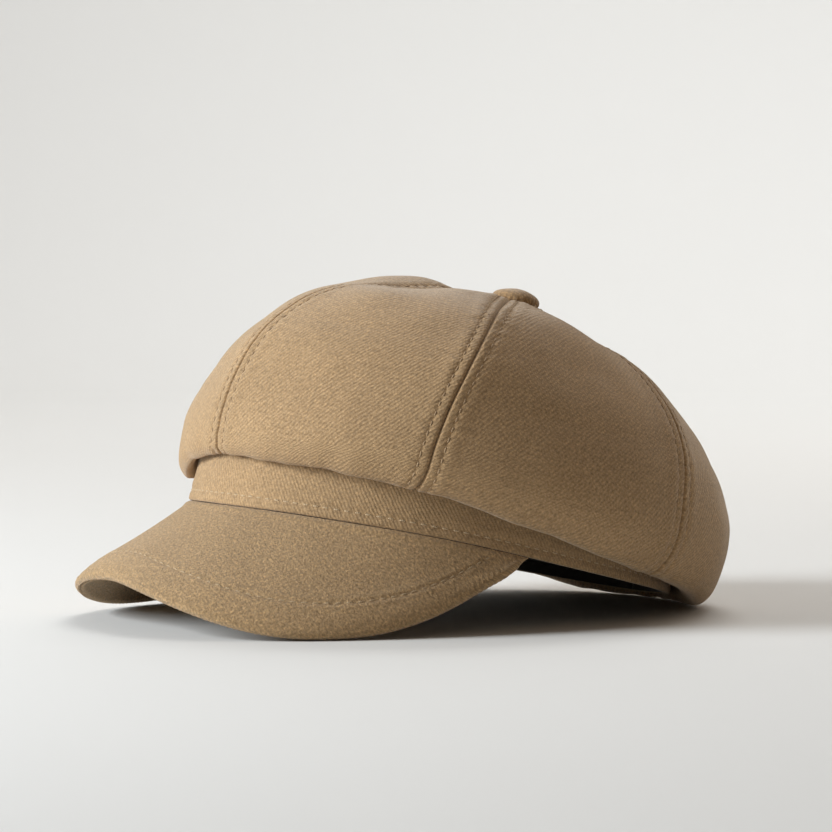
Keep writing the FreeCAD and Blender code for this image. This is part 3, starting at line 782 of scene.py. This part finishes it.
th = np.linspace(180.8, 539.2, 1200)
arc = np.concatenate([[0], np.cumsum(np.hypot(*(np.diff(c) for c in band_pt(th, BAND_ROW))))])
wv = 0.35 * noise2(arc / 34.0, BAND_ROW / 20.0, 31) + 0.14 * noise2(arc / 9.0, BAND_ROW / 14.0, 32)
x, y = band_pt(th, BAND_ROW, -0.30 + wv)
path = np.stack([x, y, BAND_ROW + edge_drop(th) * (1 - BAND_ROW / 16.0)], -1)
nx, ny = band_pt(th, 0.0)
nrm = unit(np.stack([nx / BAND_B ** 2, ny / BAND_A ** 2, 0 * nx], -1))
bt = Threads()
bt.along(to_world(path), turn(nrm), r=0.28, lift=0.22, sink=0.35, seed=41)
o = bt.finish("headband_topstitch", M_THREAD)
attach(o, "cap")

# ------------------------------------------------------------------ sweatband
SW = -2.75
s_off, s_z = [], []
for z in np.arange(31.6, 1.6, -1.5):
    s_off.append(SW)
    s_z.append(z)
for a in np.linspace(0, 180, 9):
    s_off.append(SW - 0.6 + 0.6 * math.cos(math.radians(a)))
    s_z.append(0.95 - 0.55 * math.sin(math.radians(a)))
for z in np.arange(1.7, 31.7, 0.9):
    s_off.append(SW - 1.2)
    s_z.append(z)
s_off, s_z = np.array(s_off), np.array(s_z)


def sweat_detail(T, O, Z, A):
    inner = (O < SW - 0.9).astype(float)
    w = 0.28 * noise2(A / 16.0, Z / 18.0, 51) + 0.16 * noise2(A / 5.0, Z / 16.0, 52)
    row = 0.30 * np.exp(-((Z - 4.5) / 0.8) ** 2)
    back = np.abs((T % 360.0) - 180.0) * 1.6
    seam = 0.8 * np.exp(-(back / 0.7) ** 2)
    return inner * (w - 0.2 + row + seam), 0 * Z


sweat, _, _ = ring_mesh("sweatband_cloth", s_off, s_z, M_SWEAT, 300, sweat_detail)
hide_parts("sweatband")
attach(sweat, "cap")
th = np.linspace(181, 539, 600)
x, y = band_pt(th, 4.5, SW - 1.1)
st = Threads()
st.along(to_world(np.stack([x, y, np.full_like(x, 4.5)], -1)), -turn(unit(np.stack([x / BAND_B ** 2, y / BAND_A ** 2, 0 * x], -1))),
         pitch=3.8, dash=2.6, r=0.22, lift=0.12, sink=0.35, seed=51)
o = st.finish("sweatband_stitch", M_DARKTHREAD)
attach(o, "cap")

# ------------------------------------------------------------------ lining
def lining_stations(th):
    th = np.asarray(th, float)
    st = crown_stations(th)
    out = []
    for off, z in ((-3.0, BAND_H + 1.0), (-2.7, BAND_H + 4.2), (-0.6, BAND_H + 8.0)):
        x, y = band_pt(th, BAND_H, off)
        out.append(np.stack([x, y, z + 0 * x], -1))
    for k in (11, 12, 13, 14, 15, 16, 17):
        out.append(st[:, k] - CROWN.normal(th, k + 0 * th) * LINING_GAP)
    for k in (18, 19, 20):
        p = st[:, k].copy()
        p[:, 2] = APEX_Z - LINING_GAP
        out.append(p)
    return np.stack(out, 1)


LIN = Table(lining_stations, 13)
for i, gname in enumerate(GORES):
    U, K = np.meshgrid(np.linspace(0.002, 0.998, 41), np.linspace(0, 12, 70))
    TH = gore_th(i, U, K + 8.0)
    P, N = LIN.point(TH, K), LIN.normal(TH, K)
    z = P[..., 2]
    fl = (1 - (2 * U - 1) ** 2) * np.clip((z - 34) / 25, 0, 1) * np.clip((96 - z) / 22, 0, 1)
    e = np.minimum(U, 1 - U) * 6 * 12
    det = -GORE_FLAT * 0.8 * fl + np.sin(np.pi * U) * 0.5 * (noise(P / 20.0, 61) - 0.8) * smooth(K, 0.5, 3) * (1 - smooth(K, 9.5, 11))
    det = det - 0.5 * np.exp(-(e / 2.0) ** 2) * smooth(K, .3, 1.5) * (1 - smooth(K, 10, 11))
    outer = P + N * det[..., None]
    v, fc = slab(to_world(outer), to_world(outer - N * LINING_T))
    uv = np.stack([(U - 0.5) * 100 + 200 * i, K * 12], -1).reshape(-1, 2)
    o = outward(make("lining_" + gname, v, fc, np.concatenate([uv, uv]), M_LINING))
    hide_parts("lining_panel_" + gname)
    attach(o, "cap")

# blank size label on the sweatband at the back: woven, ends turned under, gently bowed
R, C = 34, 24
TT, ZZ = np.meshgrid(np.linspace(172.0, 188.0, R), np.linspace(7.0, 25.0, C), indexing="ij")
bow = 0.10 * noise2(TT / 3.0, ZZ / 7.0, 71) - 0.05
edge = np.minimum(np.minimum(TT - 172, 188 - TT) * 1.6, np.minimum(ZZ - 7, 25 - ZZ))
lift = -0.18 * smooth(edge, 0, 0.8) + bow
x, y = band_pt(TT, ZZ, SW - 1.45 + lift)
inn = np.stack([x, y, ZZ], -1)
x, y = band_pt(TT, ZZ, SW - 1.20 + lift * 0.2)
outr = np.stack([x, y, ZZ], -1)
v, fc = slab(to_world(inn), to_world(outr))
uv = np.stack([TT * 1.66, ZZ], -1).reshape(-1, 2)
o = outward(make("size_label_woven", v, fc, np.concatenate([uv, uv]), M_LABEL))
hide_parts("size_label")
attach(o, "cap")

# ------------------------------------------------------------------ visor
rim_ctrl = np.array([(-x, y, z) for x, y, z in reversed(RIM[1:])] + [tuple(p) for p in RIM], float)
rk = np.linspace(0, len(rim_ctrl) - 1, 1601)
rim_line = spline_many(rim_ctrl[None], rk)[0]
rim_s = np.concatenate([[0], np.cumsum(np.linalg.norm(np.diff(rim_line, axis=0), axis=1))])
RIM_LEN = rim_s[-1]


def rim_pt(s):
    w = (np.asarray(s, float) + 1) / 2 * RIM_LEN
    p = np.stack([np.interp(w, rim_s, rim_line[:, c]) for c in range(3)], -1)
    rest = np.where(np.asarray(s, float) > 0, 1.5, 0.6) * np.exp(-((np.abs(s) - 0.5) / 0.28) ** 2)
    p[..., 2] = p[..., 2] - rest
    return p + np.array([0, SHIFT_Y, SHIFT_Z])


def visor_top(s, t):
    s, t = np.broadcast_arrays(np.asarray(s, float), np.asarray(t, float))
    x, y = band_pt(VISOR_HALF_ARC * s, 0.0, -0.65)
    a = to_world(np.stack([x, y, edge_drop(VISOR_HALF_ARC * s) - 0.15], -1))
    b = rim_pt(s)
    tip = np.clip((np.abs(s) - 0.945) / 0.055, 0, 1)[..., None] ** 1.4 * 0.95
    b = b + (a - b) * tip
    w = np.linalg.norm(a - b, axis=-1)
    k = np.minimum(1.0, w / 40.0)
    lift = VISOR_BULGE * 4 * t * (1 - t) * k + VISOR_DROOP * k * 1.6 * (np.abs(t) ** 3 - np.abs(t) ** 10)
    out = a + (b - a) * t[..., None]
    out[..., 0] += a[..., 0] / 120.0 * lift
    out[..., 2] += lift
    return out


def visor_frame(s, t):
    """Point, outward normal, and the direction from band to rim across the surface."""
    e = 0.004
    p = visor_top(s, t)
    du = visor_top(np.clip(s + e, -1, 1), t) - visor_top(np.clip(s - e, -1, 1), t)
    dv = visor_top(s, t + e) - visor_top(s, t - e)
    n = unit(np.cross(du, dv))
    n = n * np.where(n[..., 2:3] < 0, -1, 1)
    tan = unit(du)
    out = unit(np.cross(tan, n))
    out = out * np.sign((out * dv).sum(-1, keepdims=True) + 1e-12)
    return p, n, out


VT = VISOR_CLOTH_T * 2 + VISOR_BOARD_T + VISOR_GAP * 2       # whole thickness at the rim
sv = np.sin(np.linspace(-1, 1, 361) * math.pi / 2 * 0.86) / math.sin(math.pi / 2 * 0.86)
sv = 0.5 * sv + 0.5 * np.linspace(-1, 1, 361)
wv_ = np.linalg.norm(visor_top(sv, 0.0) - visor_top(sv, 1.0), axis=-1)
RR = np.minimum(VT / 2, wv_ * 0.42)
V_ROW = 14.6
NT = 64
tt = np.linspace(0, 1, NT)


def visor_sheet(depth, s, tmax):
    """Points at a depth under the upper surface, for each s and each of NT shares up to tmax(s)."""
    S, Q = np.meshgrid(s, tt, indexing="ij")
    T = Q * tmax[:, None]
    p, n, o_ = visor_frame(S, T)
    return p - n * depth, n, o_, T


def visor_skin(P, n, T, W, s, top):
    """Fine relief of the visor cloth."""
    d = (1 - T) * W[:, None]
    arc = (s[:, None] + 1) / 2 * RIM_LEN + 0 * T
    fade = smooth(W[:, None] - d, 0.0, 4.0)
    out = 0.30 * noise(P / 22.0, 81) * fade
    row = -0.32 * np.exp(-((d - V_ROW) / 0.75) ** 2) * (0.72 - 0.28 * np.cos(2 * np.pi * arc / 4.2))
    side = 0.16 * np.exp(-((d - V_ROW - 2.2) / 1.4) ** 2) + 0.16 * np.exp(-((d - V_ROW + 2.2) / 1.4) ** 2)
    pk = 0.13 * noise2(arc / 2.0, d / 6.0, 82) * np.exp(-((d - V_ROW) / 3.0) ** 2)
    live = smooth(W[:, None], V_ROW + 1.5, V_ROW + 6)
    out = out + (row + side + pk) * live
    rib = 0.20 * np.sin(2 * np.pi * (arc / 2.35 + d * 0.16) + 1.6 * noise2(arc / 14.0, d / 9.0, 83))
    rib = rib * (0.75 + 0.5 * noise2(arc / 11.0, d / 6.0, 84)) * np.exp(-(d / 7.5) ** 2)
    out = out + rib * smooth(W[:, None], 6, 14) * (1.0 if top else 0.6)
    hem = 0.44 * np.exp(-((W[:, None] - d) - 1.9) ** 2 / 1.3) * smooth(W[:, None], 4, 10)
    return out + hem


tm = 1 - RR / np.maximum(wv_, 1e-6)
# top cloth: over the board and round the rim
P0, n0, o0, T0 = visor_sheet(0.0, sv, tm)
P0 = P0 + n0 * visor_skin(P0, n0, T0, wv_, sv, True)[..., None]
angs = np.radians(np.linspace(90, -27, 14))[1:]
Pe, ne, oe = (a[:, -1] for a in visor_sheet(0.0, sv, tm)[:3])
cen = Pe - ne * RR[:, None]
arcs = (sv + 1) / 2 * RIM_LEN
ribr = 0.20 * np.sin(2 * np.pi * (arcs / 2.35 + 0.0) + 1.6 * noise2(arcs / 14.0, 0.0, 83)) * smooth(wv_, 6, 14)
roll = []
for k, a in enumerate(angs):
    r = RR + ribr * (1 - 0.5 * k / len(angs))
    if k >= len(angs) - 2:
        r = r - 0.30 * (k - len(angs) + 3)
    roll.append(cen + (oe * math.cos(a) + ne * math.sin(a)) * r[:, None])
outer = np.concatenate([P0, np.stack(roll, 1)], 1)
ri = np.maximum(RR - VISOR_CLOTH_T, 0.15)
inr = []
for a in angs[::-1]:
    inr.append(cen + (oe * math.cos(a) + ne * math.sin(a)) * ri[:, None])
Pi, ni, oi, Ti = visor_sheet(1.0, sv, tm)
dep = np.minimum(VISOR_CLOTH_T, RR * 0.8)
Pi = visor_sheet(0.0, sv, tm)[0] - ni * dep[:, None, None]
inner = np.concatenate([np.stack(inr, 1), Pi[:, ::-1]], 1)
loop = np.concatenate([outer, inner], 1)
R, C = loop.shape[:2]


def tube_mesh(name, loop, uvl, mat):
    """A closed piece from cross-section loops (R, C, 3), its two ends capped by fans."""
    R, C = loop.shape[:2]
    v = loop.reshape(-1, 3)
    caps = np.stack([loop[0].mean(0), loop[-1].mean(0)])
    v = np.concatenate([v, caps])
    f = [grid_quads(R, C, 0, loop_c=True)]
    c = np.arange(C)
    f.append(np.stack([np.full(C, R * C), (c + 1) % C, c], -1)[:, ::-1])
    b = (R - 1) * C
    f.append(np.stack([np.full(C, R * C + 1), b + c, b + (c + 1) % C], -1)[:, ::-1])
    uv = np.concatenate([uvl.reshape(-1, 2), uvl[[0, -1], 0]])
    return outward(make(name, v, f, uv, mat))


def loop_uv(loop, s):
    """Cloth coordinates of a loop: plan position spread along the cloth."""
    sec = np.concatenate([np.zeros((loop.shape[0], 1)), np.cumsum(np.linalg.norm(np.diff(loop, axis=1), axis=-1), axis=1)], 1)
    half = loop.shape[1] // 2
    x0 = loop[:, 0, 0][:, None] + 0 * sec
    dirx = (loop[:, half // 2, 0] - loop[:, 0, 0])[:, None]
    run = np.linalg.norm(loop[:, half // 2] - loop[:, 0], axis=-1)[:, None] + 1e-6
    y0 = loop[:, 0, 1][:, None]
    diry = (loop[:, half // 2, 1] - loop[:, 0, 1])[:, None]
    nrm_ = np.hypot(dirx, diry) + 1e-6
    return np.stack([x0 + dirx / nrm_ * sec, y0 + diry / nrm_ * sec], -1)


top_cloth = tube_mesh("visor_top_skin", settle(loop), loop_uv(loop, sv), M_VISOR)
# under cloth
depU = np.minimum(VT - VISOR_CLOTH_T, np.maximum(RR * 2 - dep, 0.1))
Pu0, nu0, ou0, Tu = visor_sheet(0.0, sv, tm)
up = Pu0 - nu0 * depU[:, None, None]
lowd = np.maximum(RR * 2, depU + 0.15)
lo_ = Pu0 - nu0 * lowd[:, None, None]
lo_ = lo_ - nu0 * (visor_skin(lo_, nu0, Tu, wv_, sv, False) * 0.8)[..., None]
angu = np.radians(np.linspace(-90, -35, 8))[1:]
er = [cen + (oe * math.cos(a) + ne * math.sin(a)) * (RR - (0.55 if k == len(angu) - 1 else 0.0))[:, None] for k, a in enumerate(angu)]
er_in = [cen + (oe * math.cos(angu[-1]) + ne * math.sin(angu[-1])) * ri[:, None]]
loopu = np.concatenate([lo_, np.stack(er, 1), np.stack(er_in, 1), up[:, ::-1]], 1)
under_cloth = tube_mesh("visor_under_skin", settle(loopu), loop_uv(loopu, sv) + np.array([400.0, 0]), M_VISOR)
# board between them
sb_ = np.linspace(-0.9, 0.9, 141)
wb = np.linalg.norm(visor_top(sb_, 0.0) - visor_top(sb_, 1.0), axis=-1)
Sb, Qb = np.meshgrid(sb_, np.linspace(0, 1, 24), indexing="ij")
Tb = (1.0 / wb)[:, None] + (1 - 4.0 / wb)[:, None] * Qb
pb, nb, _ = visor_frame(Sb, Tb)
v, fc = slab(pb - nb * (VISOR_CLOTH_T + VISOR_GAP), pb - nb * (VISOR_CLOTH_T + VISOR_GAP + VISOR_BOARD_T))
uv = np.stack([Sb * 150, Qb * 50], -1).reshape(-1, 2)
board = outward(make("visor_board_core", v, fc, np.concatenate([uv, uv]), M_BOARD))
# stitch row round the visor, through both cloths
vt = Threads()
for depth, sign in ((0.0, 1.0), (VT, -1.0)):
    ssr = np.linspace(-1, 1, 2400)
    wr = np.linalg.norm(visor_top(ssr, 0.0) - visor_top(ssr, 1.0), axis=-1)
    ok = wr > V_ROW + 3.0
    ssr, wr = ssr[ok], wr[ok]
    p, n, _ = visor_frame(ssr, 1 - V_ROW / wr)
    p = p - n * depth
    sk = 0.30 * noise(p / 22.0, 81)
    p = p + n * (sign * (sk - 0.24))[:, None]
    vt.along(p, n * sign, r=0.27, lift=0.20, sink=0.35, seed=91)
vstitch = vt.finish("visor_topstitch", M_THREAD)

for o, nodes, sl in ((top_cloth, ["visor_top_cloth"], "visor_twill"), (under_cloth, ["visor_under_cloth"], "visor_twill"),
                     (board, ["visor_board"], "visor_board_plastic"), (vstitch, [], "visor_twill")):
    if nodes:
        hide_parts(*nodes)
    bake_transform(o)

# ------------------------------------------------------------------ covered button
BR, BH, ZB = 9.8, 6.4, APEX_Z + 0.4
prof = []
for a in np.linspace(0, 90, 26):
    t = math.radians(a)
    prof.append((BR * math.sin(t) ** 0.96, ZB + 1.9 + (BH - 1.9) * math.cos(t)))
prof += [(9.78, ZB + 1.5), (9.70, ZB + 1.1), (9.50, ZB + 0.70), (9.15, ZB + 0.38), (8.6, ZB + 0.16), (7.8, ZB + 0.05), (6.45, ZB + 0.02),
         (6.42, ZB + 0.9), (8.86, ZB + 0.96)]
for a in np.linspace(90, 0, 12):
    t = math.radians(a)
    prof.append(((8.86) * math.sin(t), ZB + 1.7 + (5.4 - 1.7 + 0.05) * math.cos(t)))
prof = np.array(prof)
prof[0, 0] = prof[-1, 0] = 0.0
n_a = 120
A_, I_ = np.meshgrid(np.arange(n_a) * 2 * np.pi / n_a, np.arange(len(prof)), indexing="ij")
r_, z_ = prof[I_, 0], prof[I_, 1]
outs = (I_ < 33).astype(float)
gath = 0.16 * np.sin(A_ * 22 + 2.2 * noise2(np.cos(A_) * 2, np.sin(A_) * 2, 95)) * smooth(I_, 19, 27) * outs * (I_ < 31)
soft = 0.14 * noise(np.stack([r_ * np.cos(A_) / 5, r_ * np.sin(A_) / 5, z_ / 5], -1), 96) * outs * smooth(r_, 0, 2)
r2 = r_ + gath + soft * smooth(r_, 2, 6)
P = np.stack([r2 * np.cos(A_), r2 * np.sin(A_) + APEX_Y, z_ + soft * (1 - smooth(r_, 7, 9.5)) * outs], -1)
lens = np.concatenate([[0], np.cumsum(np.linalg.norm(np.diff(prof, axis=0), axis=1))])
uvb = np.stack([lens[I_] * np.cos(A_), lens[I_] * np.sin(A_)], -1)
# one vertex at each pole
C = len(prof)
body = P[:, 1:-1].reshape(-1, 3)
poles = np.stack([P[0, 0] * 0 + np.array([0, APEX_Y, prof[0, 1]]), np.array([0, APEX_Y, prof[-1, 1]])])
C2 = C - 2
fq = grid_quads(n_a, C2, 0, loop_r=True)
r0 = np.arange(n_a)
f0 = np.stack([np.full(n_a, n_a * C2), ((r0 + 1) % n_a) * C2, r0 * C2], -1)[:, ::-1]
f1 = np.stack([np.full(n_a, n_a * C2 + 1), r0 * C2 + C2 - 1, ((r0 + 1) % n_a) * C2 + C2 - 1], -1)[:, ::-1]
uv = np.concatenate([uvb[:, 1:-1].reshape(-1, 2), [[0, 0], [0, 0]]])
btn = outward(make("button_covered", to_world(np.concatenate([body, poles])), [fq, f0, f1], uv, M_BUTTON))
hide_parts("button_cover")
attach(btn, "button")

# ------------------------------------------------------------------ CAD pieces that stay, with their finishes
for node, mat in (("headband_buckram", M_BUCKRAM), ("button_shell", M_METAL), ("button_shank", M_METAL), ("button_washer", M_METAL)):
    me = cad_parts[node].data
    for k in range(max(1, len(me.materials))):
        if len(me.materials):
            me.materials[k] = mat
        else:
            me.materials.append(mat)

# ------------------------------------------------------------------ floor, backdrop, light, camera
def stage_material(name, base):
    s = Nodes(name)
    co = s.new("ShaderNodeTexCoord").outputs["Object"]
    g = s.noise(co, 3.0, 3.0, 0.6)
    s.link(s.mix(g, base, (base[0] * 0.985, base[1] * 0.985, base[2] * 0.98, 1)), s.b.inputs["Base Color"])
    s.b.inputs["Roughness"].default_value = 0.85
    s.b.inputs["Specular IOR Level"].default_value = 0.2
    return s.m


AZ = math.radians(60.0)
view_dir = np.array([-math.sin(AZ), math.cos(AZ)])      # away from the camera, on the floor
right = np.array([math.cos(AZ), math.sin(AZ)])
cove = []
for d in np.linspace(-4500, 2300, 50):
    cove.append((d, 0.0))
for a in np.linspace(0, 90, 40)[1:]:
    cove.append((2300 + 700 * math.sin(math.radians(a)), 700 - 700 * math.cos(math.radians(a))))
for z in np.linspace(700, 4200, 30)[1:]:
    cove.append((3000, z))
cove = np.array(cove)
xs = np.linspace(-4500, 4500, 19)
G = np.zeros((len(cove), len(xs), 3))
for a in range(len(cove)):
    for b in range(len(xs)):
        q = view_dir * cove[a, 0] + right * xs[b]
        G[a, b] = (q[0], q[1] + SHIFT_Y, cove[a, 1])
floor = make("studio_sweep", G.reshape(-1, 3), [grid_quads(len(cove), len(xs))], None, stage_material("studio_white", lin(225, 225, 223)), sharp=None)

scene = bpy.context.scene
cam = bpy.data.objects.new("camera", bpy.data.cameras.new("camera"))
scene.collection.objects.link(cam)
F_PX, PITCH_DOWN, CX = 3743.4, 2.51, 14.93
cam.data.sensor_fit = "HORIZONTAL"
cam.data.sensor_width = 36.0
cam.data.lens = F_PX / 832.0 * 36.0
cam.data.shift_x = -CX / 832.0
cam.data.clip_start, cam.data.clip_end = 0.05, 20.0
cam.location = (math.sin(AZ) * 1.5, -math.cos(AZ) * 1.5 + SHIFT_Y / 1000, (143.75 + SHIFT_Z) / 1000)
pd = math.radians(PITCH_DOWN)
look = Vector((view_dir[0] * math.cos(pd), view_dir[1] * math.cos(pd), -math.sin(pd)))
cam.rotation_mode = "QUATERNION"
cam.rotation_quaternion = look.to_track_quat("-Z", "Y")
scene.camera = cam


def area(name, at, aim, size, power, color=(1, 1, 1), size_y=None):
    """A softbox; places are (right, away, up) in metres as the camera sees the cap."""
    L = bpy.data.lights.new(name, "AREA")
    L.energy, L.color, L.size = power, color, size
    if size_y:
        L.shape, L.size_y = "RECTANGLE", size_y
    o = bpy.data.objects.new(name, L)

    def w(p):
        q = right * p[0] + view_dir * p[1]
        return Vector((q[0], q[1], p[2]))
    o.location = w(at)
    o.rotation_mode = "QUATERNION"
    o.rotation_quaternion = (w(aim) - w(at)).to_track_quat("-Z", "Y")
    scene.collection.objects.link(o)
    return o


area("key_softbox", (-1.44, -0.36, 0.62), (0, 0, 0.06), 0.72, 36.0, (0.94, 1.0, 1.055))
area("back_fill", (1.0, 0.9, 0.9), (0.1, 0, 0.05), 1.0, 2.2, (1.0, 0.88, 0.78))
area("wall_light", (0.6, 1.9, 2.6), (0.4, 3.0, 0.5), 1.8, 56.0, (0.98, 0.99, 1.0))
area("top_soft", (0.45, 0.35, 2.0), (0.1, 0.1, 0.0), 1.3, 5.0, (1.0, 0.96, 0.89))
world = bpy.data.worlds.new("studio")
scene.world = world
world.use_nodes = True
world.node_tree.nodes["Background"].inputs[0].default_value = (1.0, 0.83, 0.68, 1)
world.node_tree.nodes["Background"].inputs[1].default_value = 0.17
scene.view_settings.view_transform = "Standard"
scene.view_settings.look = "None"
scene.view_settings.exposure = 0.0
